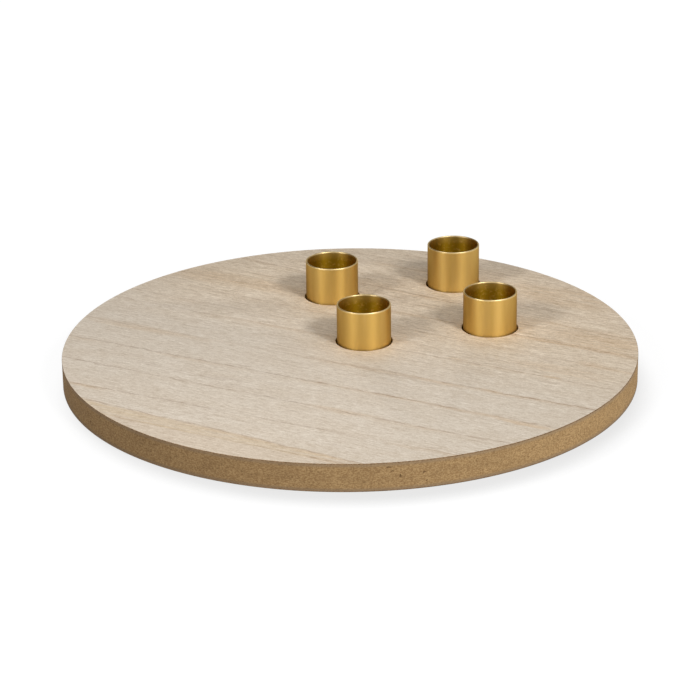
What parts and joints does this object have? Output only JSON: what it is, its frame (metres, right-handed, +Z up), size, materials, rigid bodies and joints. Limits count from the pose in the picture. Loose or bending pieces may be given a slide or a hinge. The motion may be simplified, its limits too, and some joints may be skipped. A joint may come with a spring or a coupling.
{
  "type": "advent candle holder",
  "caption": "Round wood-veneered board with an off-centre group of loose gold metal cups in drilled sockets, which hold taper candles on a table through advent.",
  "frame": {"origin": "centre of the board's underside, on the surface that it stands on", "axes": "+Z up, out of the board's face; +Y from the cup nearest the middle of the board towards the cup nearest the rim; +X to the right of that, about along the veneer's grain"},
  "size_m": [0.25, 0.25, 0.0316],
  "materials": {
    "veneer": "sanded pale veneer with a clear matt finish",
    "fibreboard": "bare sanded edge of medium-density fibreboard",
    "gold_lacquer": "satin gold lacquer on drawn sheet steel"
  },
  "bodies": {
    "board": {"board_core": "fibreboard", "top_veneer": "veneer", "bottom_veneer": "veneer"},
    "cup_1": {"candle_cup_1": "gold_lacquer"},
    "cup_2": {"candle_cup_2": "gold_lacquer"},
    "cup_3": {"candle_cup_3": "gold_lacquer"},
    "cup_4": {"candle_cup_4": "gold_lacquer"}
  },
  "joints": [
    {"name": "cup_1_lift", "type": "slide", "parent": "board", "child": "cup_1", "axis": [0, 0, 1], "range_m": [0, 0.03]},
    {"name": "cup_2_lift", "type": "slide", "parent": "board", "child": "cup_2", "axis": [0, 0, 1], "range_m": [0, 0.03]},
    {"name": "cup_3_lift", "type": "slide", "parent": "board", "child": "cup_3", "axis": [0, 0, 1], "range_m": [0, 0.03]},
    {"name": "cup_4_lift", "type": "slide", "parent": "board", "child": "cup_4", "axis": [0, 0, 1], "range_m": [0, 0.03]}
  ]
}
